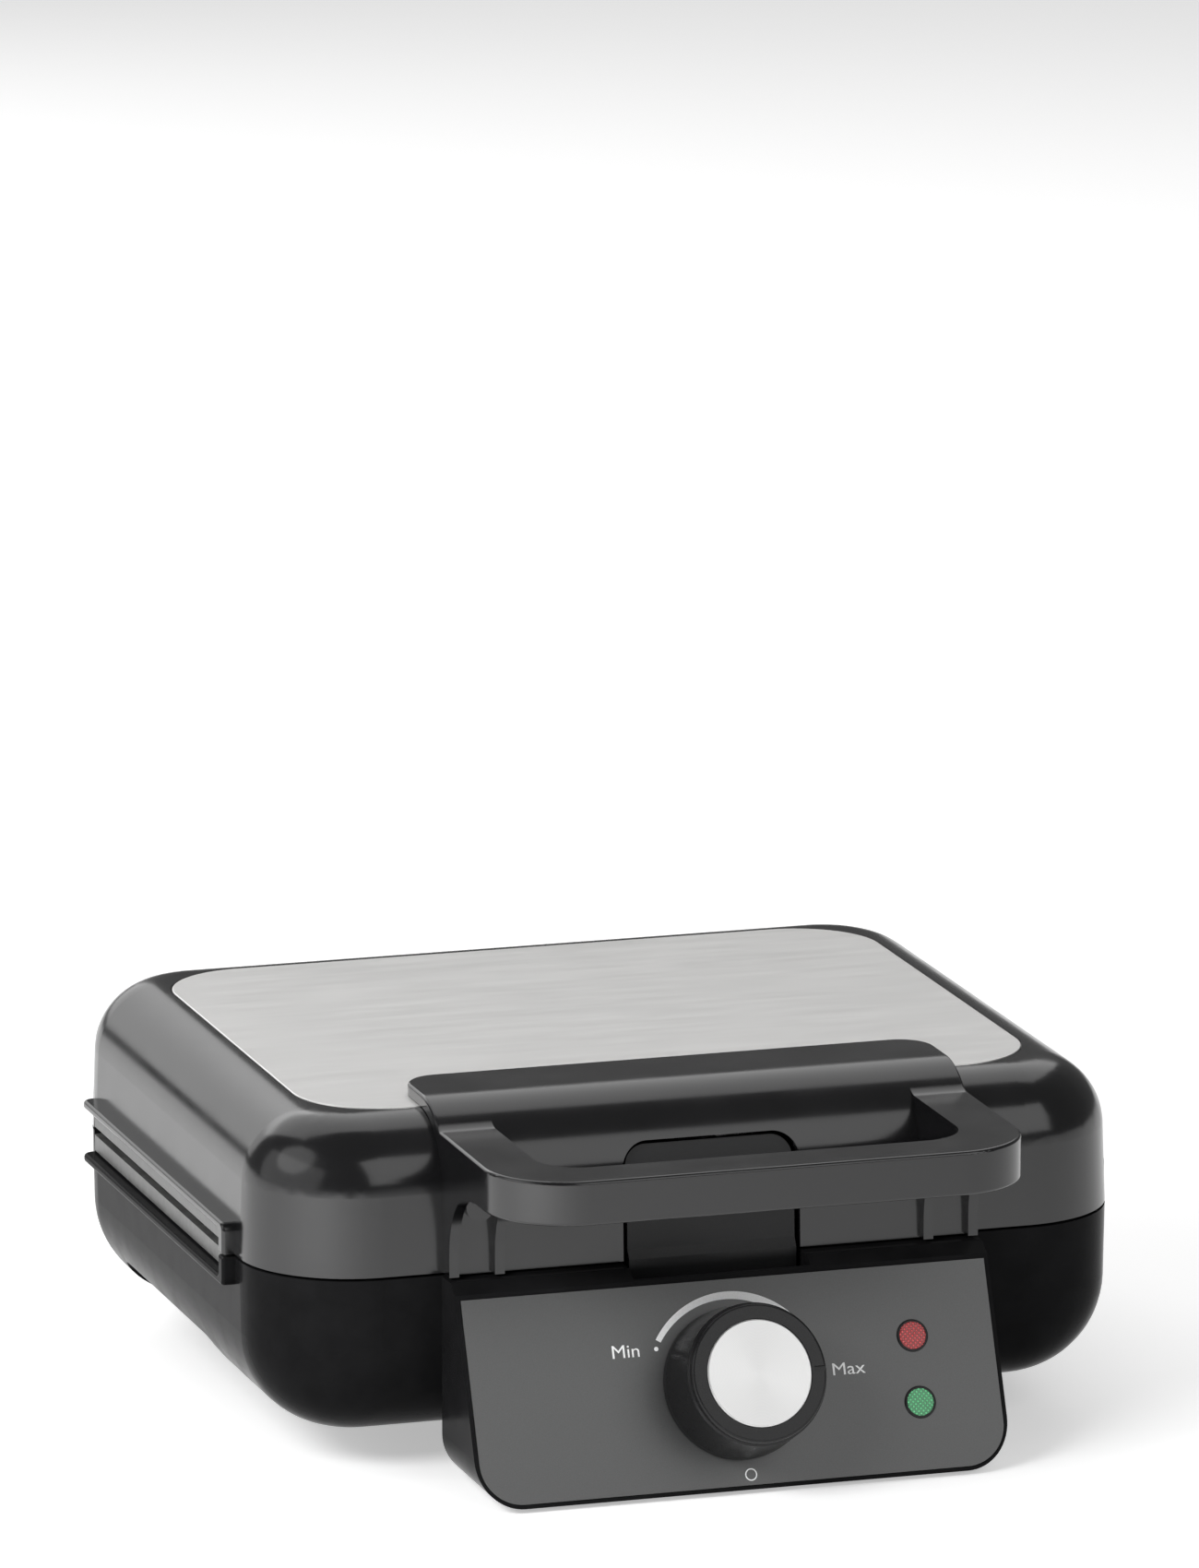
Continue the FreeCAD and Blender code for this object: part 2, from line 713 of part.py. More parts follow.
vents = [box(-d.vent_length / 2, d.vent_length / 2, channelMiddle + d.vent_pitch * i - d.vent_width / 2,
             channelMiddle + d.vent_pitch * i + d.vent_width / 2, d.channel_roof - 2, d.channel_roof + d.wall + 2)
         for i in (-2, -1, 0, 1, 2)]
glandHalf = d.gland_width / 2
glandFloor = baseTop - d.gland_height
housingScrews = [(d.housing_screw_span / 2 * side, d.housing_screw_height) for side in sides]
leadZ = d.channel_roof + 10
baseSolid = join("base_solid", panSolid, sideLip("base_lip", baseTop, d.window_bottom), *baseBosses, *baseWebs)
baseShell = keep("base_shell", cut(
    "base_shell", baseSolid, *vents,
    rod(d.hinge_pin_radius + d.running_fit, d.body_width, -halfWidth, hingeY, hingeZ, "x"),
    box(-glandHalf, glandHalf, rear - d.wall - 3, rear + 1, glandFloor, baseTop + 1),
    rod(d.lead_hole_radius, d.wall + 4, 0.0, front - 1, leadZ, "y"),
    *[rod(d.foot_stem_radius + d.running_fit, d.wall + 4, x, y, d.base_floor - 1) for x, y in footSpots.values()],
    *[rod(pilot, d.wall + 6, x, front - 1, z, "y") for x, z in housingScrews],
    *[rod(pilot, 14.0, x, y, lowerBack - 13) for x, y in bossSpots]))

# Hinge pins
pinLength = d.knuckle_width + 2 * (d.ear_width + d.hinge_side_gap)
for side, name in ((-1, "hinge_pin_left"), (1, "hinge_pin_right")):
    keep(name, rod(d.hinge_pin_radius, pinLength, d.hinge_span * side / 2 - pinLength / 2, hingeY, hingeZ, "x"))

# Rubber feet with a stem that plugs into the pan
for name, (x, y) in footSpots.items():
    foot = newBody("foot_" + name)
    sketch = newSketch(foot, "XZ_Plane")
    top = d.base_floor
    outline(sketch, [
        (0.0, 0.0), (d.foot_radius, 0.0, 1.2), (d.foot_radius - d.foot_taper, top), (d.foot_stem_radius, top),
        (d.foot_stem_radius, top + d.wall + 1), (0.0, top + d.wall + 1)])
    turned = foot.newObject("PartDesign::Revolution", "revolution")
    turned.Profile = sketch
    turned.ReferenceAxis = (sketch, ["V_Axis"])
    turned.Angle = 360
    bind(foot, "Placement.Base.x", x)
    bind(foot, "Placement.Base.y", y)
    doc.recompute()
    keep("foot_" + name, foot)


# Waffle plates: a flanged casting with two wells of tapered pegs, drawn face up with its face at zero
def wafflePlate(label):
    body = newBody(label)
    x, y = d.plate_width / 2, d.plate_depth / 2
    sketch = newSketch(body, "XY_Plane")
    outline(sketch, rectangle(-x, x, -y, y, d.plate_corner))
    grow(body, "Pad", sketch, d.plate_flange, back=True)
    # side rims that fill the windows between the lips
    sketch = newSketch(body, "XY_Plane")
    rim = d.rim_width / 2
    rimFront, rimRear = windowFront + d.rim_gap - middle, windowRear - d.rim_gap - middle
    outline(sketch, rectangle(-rim, rim, rimFront, rimRear, 1.5))
    grow(body, "Pad", sketch, d.rim_thickness, back=True)
    inner, outer, half = d.well_divider / 2, d.well_divider / 2 + d.well_width, d.well_length / 2
    thick = d.well_wall
    sketch = newSketch(body, "XY_Plane", -d.plate_flange)
    outline(sketch, rectangle(-outer - thick, outer + thick, -half - thick, half + thick, d.well_corner + thick))
    grow(body, "Pad", sketch, d.well_depth + thick - d.plate_flange, back=True)
    for x0, x1 in ((inner, outer), (-outer, -inner)):
        sketch = newSketch(body, "XY_Plane")
        outline(sketch, rectangle(x0, x1, -half, half, d.well_corner))
        grow(body, "Pocket", sketch, d.well_depth, draft=-d.well_draft)
    pitchX, pitchY = d.well_width / 4, d.well_length / 5
    cx, cy, peg = inner + pitchX / 2, -half + pitchY / 2, d.peg_size / 2
    sketch = newSketch(body, "XY_Plane", -d.well_depth)
    outline(sketch, rectangle(cx - peg, cx + peg, cy - peg, cy + peg, 1.5))
    first = grow(body, "Pad", sketch, d.peg_height, draft=-d.peg_draft)
    grid = body.newObject("PartDesign::MultiTransform", "grid")
    grid.Originals = [first]
    steps = []
    for axis, run, number in (("H_Axis", pitchX * 3, 4), ("V_Axis", pitchY * 4, 5)):
        step = body.newObject("PartDesign::LinearPattern", "row")
        step.Direction = (sketch, [axis])
        bind(step, "Length", run)
        step.Occurrences = number
        steps.append(step)
    mirror = body.newObject("PartDesign::Mirrored", "mirror")
    mirror.MirrorPlane = (originPlane(body, "YZ_Plane"), [""])
    grid.Transformations = steps + [mirror]
    body.Tip = grid
    doc.recompute()
    sketch = newSketch(body, "XY_Plane")
    spots = [(d.plate_screw_side * sx, d.plate_screw_end * sy) for sx in sides for sy in sides]
    for u, v in spots:
        ring(sketch, u, v, pilot)
    grow(body, "Pocket", sketch, d.plate_flange + 1)
    sketch = newSketch(body, "XY_Plane")
    for u, v in spots:
        ring(sketch, u, v, d.screw_head_radius + 0.3)
    grow(body, "Pocket", sketch, d.screw_head_depth + 0.3)
    return body


def heatingElement(label):
    # Bent tube below the wells, open between its two ends at the back.
    body = newBody(label)
    z = -d.well_depth - d.well_wall - d.element_seat - d.element_radius
    path = newSketch(body, "XY_Plane", z)
    x, y, gap = d.element_half_width, d.element_half_depth, d.element_gap / 2
    corners = [(gap, y), (x, y), (x, -y), (-x, -y), (-x, y), (-gap, y)]
    bend = d.element_bend
    outline_open(path, corners, bend)
    profile = newSketch(body, "YZ_Plane", gap)
    ring(profile, y, z, d.element_radius)
    tube = body.newObject("PartDesign::AdditivePipe", "tube")
    tube.Profile = profile
    tube.Spine = (path, [])
    doc.recompute()
    return body


def outline_open(sketch, corners, bend):
    # Open run of lines with rounded bends, for a bent tube.
    count = len(corners)
    points = [FreeCAD.Vector(num(u), num(v), 0) for u, v in corners]
    reach, leave = list(points), list(points)
    radius = num(bend)
    for i in range(1, count - 1):
        inward = (points[i] - points[i - 1]).normalize()
        onward = (points[i + 1] - points[i]).normalize()
        reach[i] = points[i] - inward * radius
        leave[i] = points[i] + onward * radius
    base = sketch.GeometryCount
    sketch.addGeometry([Part.LineSegment(leave[i], reach[i + 1]) for i in range(count - 1)], False)
    rules = placePoint(base, 1, *corners[0]) + placePoint(base + count - 2, 2, *corners[-1])
    for i in range(1, count - 1):
        inward = (points[i] - points[i - 1]).normalize()
        onward = (points[i + 1] - points[i]).normalize()
        side = 1 if inward.cross(onward).z > 0 else -1
        centre = reach[i] + FreeCAD.Vector(-inward.y, inward.x, 0) * radius * side
        first, last = (reach[i], leave[i]) if side > 0 else (leave[i], reach[i])
        start = math.atan2(first.y - centre.y, first.x - centre.x)
        stop = math.atan2(last.y - centre.y, last.x - centre.x)
        if stop < start:
            stop += 2 * math.pi
        circle = Part.Circle(centre, FreeCAD.Vector(0, 0, 1), radius)
        arc = sketch.addGeometry(Part.ArcOfCircle(circle, start, stop), False)
        point = sketch.addGeometry(Part.Point(points[i]), True)
        here, there = (1, 2) if side > 0 else (2, 1)
        rules += placePoint(point, 1, *corners[i])
        rules.append((Sketcher.Constraint("PointOnObject", point, 1, base + i - 1), None))
        rules.append((Sketcher.Constraint("PointOnObject", point, 1, base + i), None))
        rules.append((Sketcher.Constraint("Tangent", base + i - 1, 2, arc, here), None))
        rules.append((Sketcher.Constraint("Tangent", base + i, 1, arc, there), None))
        rules.append((Sketcher.Constraint("Radius", arc, radius), bend))
    addRules(sketch, rules)


def heatReflector(label):
    # Sheet tray that hangs from the plate's flange and closes round the element.
    body = newBody(label)
    x = d.well_divider / 2 + d.well_width + d.well_wall + d.tray_side_room
    y = d.well_length / 2 + d.well_wall + d.tray_end_room
    corner = d.well_corner + d.well_wall
    sketch = newSketch(body, "XY_Plane", -d.plate_flange)
    sheetEdge = d.tray_sheet
    outline(sketch, rectangle(-x - sheetEdge, x + sheetEdge, -y - sheetEdge, y + sheetEdge, corner + sheetEdge))
    grow(body, "Pad", sketch, d.tray_depth, back=True)
    sketch = newSketch(body, "XY_Plane", -d.plate_flange)
    outline(sketch, rectangle(-x, x, -y, y, corner))
    grow(body, "Pocket", sketch, d.tray_depth - sheetEdge)
    return body


def settle(body, upper):
    # Lower pieces face up; upper pieces are turned over about the Y axis.
    if upper:
        body.Placement = FreeCAD.Placement(FreeCAD.Vector(), FreeCAD.Rotation(FreeCAD.Vector(0, 1, 0), 180))
    bind(body, "Placement.Base.y", middle)
    bind(body, "Placement.Base.z", upperFace if upper else lowerFace)


for level in ("lower", "upper"):
    for make, name in ((wafflePlate, "_waffle_plate"), (heatingElement, "_heating_element"),
                       (heatReflector, "_heat_reflector")):
        piece = make(level + name)
        settle(piece, level == "upper")
        keep(level + name, piece)


def screw(label, x, y, z, along, flip, length):
    # Round head with a plain shank; the head's outer face is at the given point.
    sign = -1 if flip else 1
    shift = lambda base, axis, run: base if axis != along else base + run * ((sign - 1) // 2)
    head = d.screw_head_depth
    point = {"x": x, "y": y, "z": z}
    headAt = {k: shift(v, k, head) for k, v in point.items()}
    shankAt = {k: shift(v, k, length) for k, v in point.items()}
    return join(label, rod(d.screw_head_radius, head, headAt["x"], headAt["y"], headAt["z"], along),
                rod(d.screw_radius, length, shankAt["x"], shankAt["y"], shankAt["z"], along))


def group(label, pieces):
    whole = doc.addObject("Part::Compound", label)
    whole.Links = pieces
    return keep(label, whole)


group("lower_plate_screws", [screw("lower_screw", x, y, lowerFace - 0.3, "z", True, 18.0) for x, y in bossSpots])
group("upper_plate_screws", [screw("upper_screw", x, y, upperFace + 0.3, "z", False, 16.0) for x, y in bossSpots])
handleInside = front + d.wall + (handleScrewZ - lidRim) * lean + 0.15
group("handle_screws", [screw("handle_screw", handleScrewX * side, handleInside + d.screw_head_depth, handleScrewZ,
                              "y", True, d.screw_head_depth + d.wall + d.handle_skin + 3) for side in sides])

# Control housing on the front of the base
slope = d.panel_slope
rise = tangent(slope)
panelTopZ = baseTop - d.panel_top_drop
panelTopY = front - d.panel_top_reach
panelFootZ = panelTopZ - d.panel_height * cosine(slope)
panelFootY = panelTopY - d.panel_height * sine(slope)


def panelY(z, depth):
    # Y of the panel plane, set back by a depth square to it, at height z.
    return panelTopY - (panelTopZ - z) * rise + depth / cosine(slope)


housingX = d.housing_width / 2
housing = newBody("housing_outer")
sketch = newSketch(housing, "YZ_Plane")
frontSet = d.panel_gap
crest = panelTopZ + d.panel_border * cosine(slope)
outline(sketch, [
    (front, d.housing_foot), (front, baseTop), (front - d.ledge_depth, baseTop, 1.5),
    (panelY(crest, frontSet), crest), (panelY(d.housing_foot, frontSet), d.housing_foot)])
grow(housing, "Pad", sketch, d.housing_width, both=True)
soften(housing, lambda b: near(b.ZMin, d.housing_foot) and near(b.ZMax, d.housing_foot)
       and near(b.XMin, b.XMax) and near(abs(b.XMin), housingX), d.housing_round)
hollow = newBody("housing_hollow")
sketch = newSketch(hollow, "YZ_Plane")
ceiling, ground, rearWall = baseTop - d.wall, d.housing_foot + d.wall, front - d.wall
outline(sketch, [
    (rearWall, ground), (rearWall, ceiling), (front - d.ledge_depth, ceiling),
    (panelY(ceiling, d.wall * 2.4), ceiling - 2), (panelY(panelTopZ - d.wall, 0.5), panelTopZ - d.wall),
    (panelY(ground, 0.5), ground)])
grow(hollow, "Pad", sketch, (housingX - d.wall) * 2, both=True)
soften(hollow, lambda b: near(b.ZMin, ground) and near(b.ZMax, ground) and near(b.XMin, b.XMax),
       d.housing_round - d.wall)
notchGuard = box(-slotHalf - d.wall, slotHalf + d.wall, front - 60, front + 5, d.notch_floor - d.wall, baseTop + 5)
housingRoom = cut("housing_room", hollow, notchGuard)


def onPanel(body):
    # Sets a body drawn on its own XY plane onto the panel: X across, Y up the slope, Z out.
    body.Placement = FreeCAD.Placement(FreeCAD.Vector(), FreeCAD.Rotation(FreeCAD.Vector(1, 0, 0), 67.5))
    bind(body, "Placement.Rotation.Angle", 90 - slope)
    bind(body, "Placement.Base.y", panelFootY)
    bind(body, "Placement.Base.z", panelFootZ)
    return body


panelX = housingX - d.panel_border


def panelBlock(label, room, height):
    body = newBody(label)
    sketch = newSketch(body, "XY_Plane", -d.panel_thickness)
    x, top = panelX + room, d.panel_height + room
    round_ = d.panel_corner + room
    outline(sketch, [(-x, -room, round_), (x, -room, round_), (x, top), (-x, top)])
    grow(body, "Pad", sketch, height)
    return body


rebate = onPanel(panelBlock("panel_rebate", 0.15, 8.0))
housingBosses = [rod(d.boss_radius, 9.0, x, front - 10, z, "y") for x, z in housingScrews]
hollowed = cut("housing_hollowed", housing, housingRoom)
keep("control_housing", cut(
    "control_housing", join("housing_bossed", hollowed, *housingBosses), rebate,
    box(-slotHalf, slotHalf, front - d.notch_depth, front + 1, d.notch_floor, baseTop + 5),
    rod(d.lead_hole_radius, d.wall + 2, 0.0, front - d.wall - 1, leadZ, "y"),
    *[rod(pilot, 9.0, x, front - 8, z, "y") for x, z in housingScrews]))
baseInside = front + d.wall + (baseTop - d.housing_screw_height) * tangent(d.base_draft) + 0.15
group("housing_screws", [screw("housing_screw", x, baseInside + d.screw_head_depth, z, "y", True,
                               d.screw_head_depth + d.wall + 7.0) for x, z in housingScrews])

# Face plate with openings for the spindle and the two lamps
lampSpots = [(d.lamp_side, d.dial_height + d.lamp_spacing / 2), (d.lamp_side, d.dial_height - d.lamp_spacing / 2)]
facePlate = panelBlock("face_plate", 0.0, d.panel_thickness)
sketch = newSketch(facePlate, "XY_Plane")
ring(sketch, 0.0, d.dial_height, d.spindle_bush + 0.1)
for u, v in lampSpots:
    ring(sketch, u, v, d.lamp_radius + d.lamp_gap)
grow(facePlate, "Pocket", sketch, d.panel_thickness + 1)
keep("face_plate", onPanel(facePlate))


def turnedPiece(label, corners, u, v):
    # Turned about an axis square to the panel at u, v; corners are radius and height.
    body = newBody(label)
    sketch = newSketch(body, "XZ_Plane")
    outline(sketch, corners)
    feature = body.newObject("PartDesign::Revolution", "revolution")
    feature.Profile = sketch
    feature.ReferenceAxis = (sketch, ["V_Axis"])
    feature.Angle = 360
    onPanel(body)
    bind(body, "Placement.Base.x", u)
    bind(body, "Placement.Base.y", panelFootY + v * sine(slope))
    bind(body, "Placement.Base.z", panelFootZ + v * cosine(slope))
    doc.recompute()
    return body


for name, (u, v) in zip(("red_lamp_lens", "green_lamp_lens"), lampSpots):
    r, deep = d.lamp_radius, d.panel_thickness
    keep(name, turnedPiece(name, [
        (0.0, -deep - 1.2), (r + 1.6, -deep - 1.2), (r + 1.6, -deep - 0.1), (r, -deep - 0.1), (r, 0.5, 0.4),
        (0.0, 0.9)], u, v))
bulbs = [turnedPiece("bulb", [
    (0.0, -d.panel_thickness - 1.4 - d.bulb_length), (d.bulb_radius, -d.panel_thickness - 1.4 - d.bulb_length),
    (d.bulb_radius, -d.panel_thickness - 1.4, 1.0), (0.0, -d.panel_thickness - 1.4)], u, v) for u, v in lampSpots]
group("lamp_bulbs", bulbs)

# Dial: flared knob, metal cap, and the spindle that turns with them
lift, deep, capR, capT = d.dial_lift, d.dial_depth, d.dial_cap_radius, d.dial_cap_thickness
boreR = d.spindle_radius + d.screw_fit
knob = turnedPiece("dial_knob", [
    (boreR, lift), (d.dial_base_radius, lift), (d.dial_base_radius, lift + 2.4, 1.0),
    (d.dial_face_radius + 0.7, deep - 2.6), (d.dial_face_radius + 0.1, deep - 2.2),
    (d.dial_face_radius, deep, 0.8), (capR + 0.1, deep), (capR + 0.1, deep - capT), (boreR, deep - capT)],
    0.0, d.dial_height)
sketch = newSketch(knob, "XY_Plane", deep)
half = d.pointer_width / 2
outline(sketch, rectangle(capR + 0.8, d.dial_face_radius + 2, -half, half))
grow(knob, "Pocket", sketch, 1.0)
keep("dial_knob", knob)
keep("dial_cap", turnedPiece("dial_cap", [
    (0.0, deep - capT), (capR, deep - capT), (capR, deep + 0.2, 0.5), (0.0, deep + 0.2)], 0.0, d.dial_height))
plateBack = -d.panel_thickness
bodyFoot = plateBack - 0.1 - d.thermostat_depth
spindle = turnedPiece("thermostat_spindle", [
    (0.0, bodyFoot + 2), (d.spindle_radius, bodyFoot + 2), (d.spindle_radius, deep - capT - 0.4, 0.5),
    (0.0, deep - capT - 0.4)], 0.0, d.dial_height)
keep("thermostat_spindle", spindle)
socketR = d.spindle_radius + d.running_fit
keep("thermostat", turnedPiece("thermostat", [
    (0.0, bodyFoot), (d.thermostat_radius, bodyFoot, 1.0), (d.thermostat_radius, plateBack - 0.1),
    (d.spindle_bush, plateBack - 0.1), (d.spindle_bush, 0.3), (socketR, 0.3), (socketR, bodyFoot + 1.9),
    (0.0, bodyFoot + 1.9)], 0.0, d.dial_height))

# Cord gland: square bush held in the rear wall's notch
glandFit = d.gland_fit
neck = box(-glandHalf + glandFit, glandHalf - glandFit, rear - d.wall - 3, rear + 3,
           glandFloor + glandFit, baseTop - 0.1)
flare = d.gland_flange
outerFlange = box(-glandHalf - flare, glandHalf + flare, rear + 0.15, rear + 3, glandFloor - flare, baseTop - 0.1)
innerSkin = rear - d.wall - d.gland_height * tangent(d.base_draft) - 0.2
innerFlange = box(-glandHalf - flare, glandHalf + flare, innerSkin - 2.5, innerSkin, glandFloor - flare, baseTop - 0.1)
glandZ = baseTop - d.gland_height / 2
keep("cord_gland", cut("cord_gland", join("gland_solid", neck, outerFlange, innerFlange),
                       rod(d.gland_bore, 24.0, 0.0, rear - 14, glandZ, "y")))

# Terminal block on the pan floor, thermal fuse under the lower reflector, lead to the thermostat
panFloor = d.base_floor + d.wall + d.running_fit
blockY = front + 46
terminal = box(-d.terminal_length / 2, d.terminal_length / 2, blockY - d.terminal_width / 2,
               blockY + d.terminal_width / 2, panFloor, panFloor + d.terminal_height)
ports = [rod(1.6, d.terminal_width + 2, d.terminal_length * i / 3, blockY - d.terminal_width / 2 - 1,
             panFloor + d.terminal_height / 2, "y") for i in (-1, 0, 1)]
keep("terminal_block", cut("terminal_block", terminal, *ports))
trayFloor = lowerFace - d.plate_flange - d.tray_depth
fuseY = front + 50
strap = box(-d.fuse_length / 4 + 50, d.fuse_length / 4 + 50, fuseY - d.fuse_radius - 3, fuseY + d.fuse_radius + 3,
            trayFloor - 0.9, trayFloor)
keep("thermal_fuse", join("thermal_fuse", strap, rod(d.fuse_radius, d.fuse_length, 50 - d.fuse_length / 2, fuseY,
                                                     trayFloor - d.fuse_radius, "x")))
leadStart = front - d.wall - 1.5
leadEnd = blockY - d.terminal_width / 2 - 0.2
lead = newBody("thermostat_lead")
leadPath = newSketch(lead, "YZ_Plane")
portZ = panFloor + d.terminal_height / 2
outline_open(leadPath, [(leadStart, leadZ), (front + 24, leadZ), (front + 24, portZ), (leadEnd, portZ)], 7.0)
profile = newSketch(lead, "XZ_Plane", -leadStart)
ring(profile, 0.0, leadZ, d.lead_radius)
tube = lead.newObject("PartDesign::AdditivePipe", "tube")
tube.Profile = profile
tube.Spine = (leadPath, [])
keep("thermostat_lead", lead)

doc.recompute()

broken = [o.Label for o in doc.Objects if "Invalid" in o.State or "Error" in o.State]
for name, piece in nodes.items():
    if piece.Shape.isNull() or not piece.Shape.isValid():
        broken.append(name)
if broken:
    raise RuntimeError("not built: " + ", ".join(broken))

os.makedirs("parts", exist_ok=True)
for name, piece in nodes.items():
    piece.Shape.exportStep("parts/%s.step" % name)
print(len(nodes), "parts written")
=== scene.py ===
import bpy
import math
import numpy as np
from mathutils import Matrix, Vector


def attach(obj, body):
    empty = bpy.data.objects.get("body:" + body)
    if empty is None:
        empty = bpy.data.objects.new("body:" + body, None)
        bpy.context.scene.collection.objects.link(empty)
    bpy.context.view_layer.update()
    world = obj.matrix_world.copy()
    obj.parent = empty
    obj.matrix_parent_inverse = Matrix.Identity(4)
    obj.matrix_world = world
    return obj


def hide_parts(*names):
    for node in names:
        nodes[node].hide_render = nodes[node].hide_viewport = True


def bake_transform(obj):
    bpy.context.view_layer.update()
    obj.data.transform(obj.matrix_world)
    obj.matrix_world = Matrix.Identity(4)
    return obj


# Waffle maker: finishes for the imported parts, print on the control panel, studio and camera. Metres, Z up.
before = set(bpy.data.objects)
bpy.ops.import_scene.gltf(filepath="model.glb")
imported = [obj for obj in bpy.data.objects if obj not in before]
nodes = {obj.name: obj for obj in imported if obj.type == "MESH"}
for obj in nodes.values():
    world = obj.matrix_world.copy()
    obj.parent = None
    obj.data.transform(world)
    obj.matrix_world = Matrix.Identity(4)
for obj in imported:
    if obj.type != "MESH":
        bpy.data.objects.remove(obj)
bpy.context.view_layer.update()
scene = bpy.context.scene
print("stage: frame loaded,", len(nodes), "nodes")


def addNode(tree, kind, **settings):
    node = tree.nodes.new(kind)
    for key, value in settings.items():
        setattr(node, key, value)
    return node


# Settings of a finish that states none of its own; spread is the part of a pattern that is used
plain = {"tint": (0.88, 1.12), "spread": (0.32, 0.68), "bump": 0.1, "depth": 0.0001, "detail": 3.0,
         "shift": (0.0, 0.0, 0.0), "turn": (0.0, 0.0, 0.0), "stretch": (1.0, 1.0, 1.0)}


def newFinish(look):
    # Empty finish: the shader with its constant sockets set, and a mapped object coordinate.
    material = bpy.data.materials.new(look["name"])
    material.use_nodes = True
    tree = material.node_tree
    shader = tree.nodes["Principled BSDF"]
    constants = {"Metallic": "metal", "Specular IOR Level": "specular", "Coat Weight": "coat",
                 "Coat Roughness": "coatRough", "Anisotropic": "aniso", "Transmission Weight": "clear"}
    for socket, key in constants.items():
        if key in look:
            shader.inputs[socket].default_value = look[key]
    place = addNode(tree, "ShaderNodeTexCoord")
    mapping = addNode(tree, "ShaderNodeMapping")
    mapping.inputs["Location"].default_value = look.get("shift", plain["shift"])
    mapping.inputs["Rotation"].default_value = look.get("turn", plain["turn"])
    mapping.inputs["Scale"].default_value = look.get("stretch", plain["stretch"])
    tree.links.new(place.outputs["Object"], mapping.inputs["Vector"])
    return material, tree, shader, mapping


def tinted(tree, source, look, shader):
    # Colour ramp between a darker and a lighter shade of the finish.
    ramp = addNode(tree, "ShaderNodeValToRGB")
    low, high = look.get("tint", plain["tint"])
    stops = ramp.color_ramp.elements
    stops[0].position, stops[1].position = look.get("spread", plain["spread"])
    stops[0].color = tuple(min(1.0, c * low) for c in look["color"]) + (1.0,)
    stops[1].color = tuple(min(1.0, c * high) for c in look["color"]) + (1.0,)
    tree.links.new(source, ramp.inputs["Fac"])
    tree.links.new(ramp.outputs["Color"], shader.inputs["Base Color"])


def roughened(tree, source, look, shader):
    spread = addNode(tree, "ShaderNodeMapRange")
    low, high = look.get("spread", plain["spread"])
    spread.inputs["From Min"].default_value = low
    spread.inputs["From Max"].default_value = high
    smooth, coarse = look["rough"]
    spread.inputs["To Min"].default_value = smooth
    spread.inputs["To Max"].default_value = coarse
    tree.links.new(source, spread.inputs["Value"])
    tree.links.new(spread.outputs["Result"], shader.inputs["Roughness"])


def bumped(tree, source, look, shader):
    bump = addNode(tree, "ShaderNodeBump")
    bump.inputs["Strength"].default_value = look.get("bump", plain["bump"])
    bump.inputs["Distance"].default_value = look.get("depth", plain["depth"])
    tree.links.new(source, bump.inputs["Height"])
    tree.links.new(bump.outputs["Normal"], shader.inputs["Normal"])


def grained(look):
    # Noise in object space, stretched along the grain of the piece, drives shade, gloss and relief.
    material, tree, shader, mapping = newFinish(look)
    noise = addNode(tree, "ShaderNodeTexNoise")
    noise.inputs["Scale"].default_value = look["grain"]
    noise.inputs["Detail"].default_value = look.get("detail", plain["detail"])
    tree.links.new(mapping.outputs["Vector"], noise.inputs["Vector"])
    relief = noise.outputs["Fac"]
    tinted(tree, relief, look, shader)
    roughened(tree, relief, look, shader)
    bumped(tree, relief, look, shader)
    return material


def dress(material, *names):
    for name in names:
        piece = nodes[name]
        if not piece.material_slots:
            piece.data.materials.append(material)
        for slot in piece.material_slots:
            slot.material = material


# Gloss black moulding of the lid and handle: a faint flow ripple under a hard shine
lidGloss = {"name": "lidGloss", "color": (0.0055, 0.0055, 0.006), "rough": (0.15, 0.2), "grain": 55.0,
            "bump": 0.02, "depth": 0.0002, "specular": 0.65}
dress(grained(lidGloss), "lid_shell", "handle")

# Base and control housing: black with very little shine
baseGloss = {"name": "baseGloss", "color": (0.01, 0.01, 0.0105), "rough": (0.16, 0.24), "grain": 120.0,
             "bump": 0.03, "depth": 0.0002, "specular": 0.016}
dress(grained(baseGloss), "base_shell", "control_housing")

# Brushed steel: hair lines run across the lid, along X
lidSteel = {"name": "lidSteel", "color": (0.72, 0.715, 0.705), "metal": 1.0, "rough": (0.4, 0.44),
            "grain": 330.0, "stretch": (0.11, 1.0, 1.0), "tint": (0.98, 1.02), "bump": 0.008,
            "depth": 0.00003, "detail": 5.0}
dress(grained(lidSteel), "steel_top_panel")

# Painted metal face plate with a very fine metallic fleck
facePaint = {"name": "facePaint", "color": (0.1, 0.101, 0.101), "metal": 0.45, "rough": (0.36, 0.42),
             "grain": 5200.0, "tint": (0.9, 1.12), "bump": 0.02, "depth": 0.00003}
dress(grained(facePaint), "face_plate")

latchSatin = {"name": "latchSatin", "color": (0.012, 0.012, 0.0125), "rough": (0.3, 0.38), "grain": 2600.0,
              "bump": 0.05, "depth": 0.00004, "specular": 0.26}
dress(grained(latchSatin), "latch")

knobSatin = {"name": "knobSatin", "color": (0.0085, 0.0085, 0.009), "rough": (0.27, 0.34), "grain": 2600.0,
             "bump": 0.03, "depth": 0.00003, "specular": 0.32}
dress(grained(knobSatin), "dial_knob")

# The control panel leans back; these put a pattern square to it with the dial's axis at zero
panelFoot = np.array((0.0, -0.117463, 0.002639))
panelUp = np.array((0.0, 0.382683, 0.923880))
panelOut = np.array((0.0, -0.923880, 0.382683))
dialHeight = 0.028
panelTurn = (math.radians(-67.5), 0.0, 0.0)


def panelShift(x, height):
    spot = panelFoot + np.array((x, 0.0, 0.0)) + height * panelUp
    return (-x, -float(spot @ panelUp), -float(spot @ panelOut))


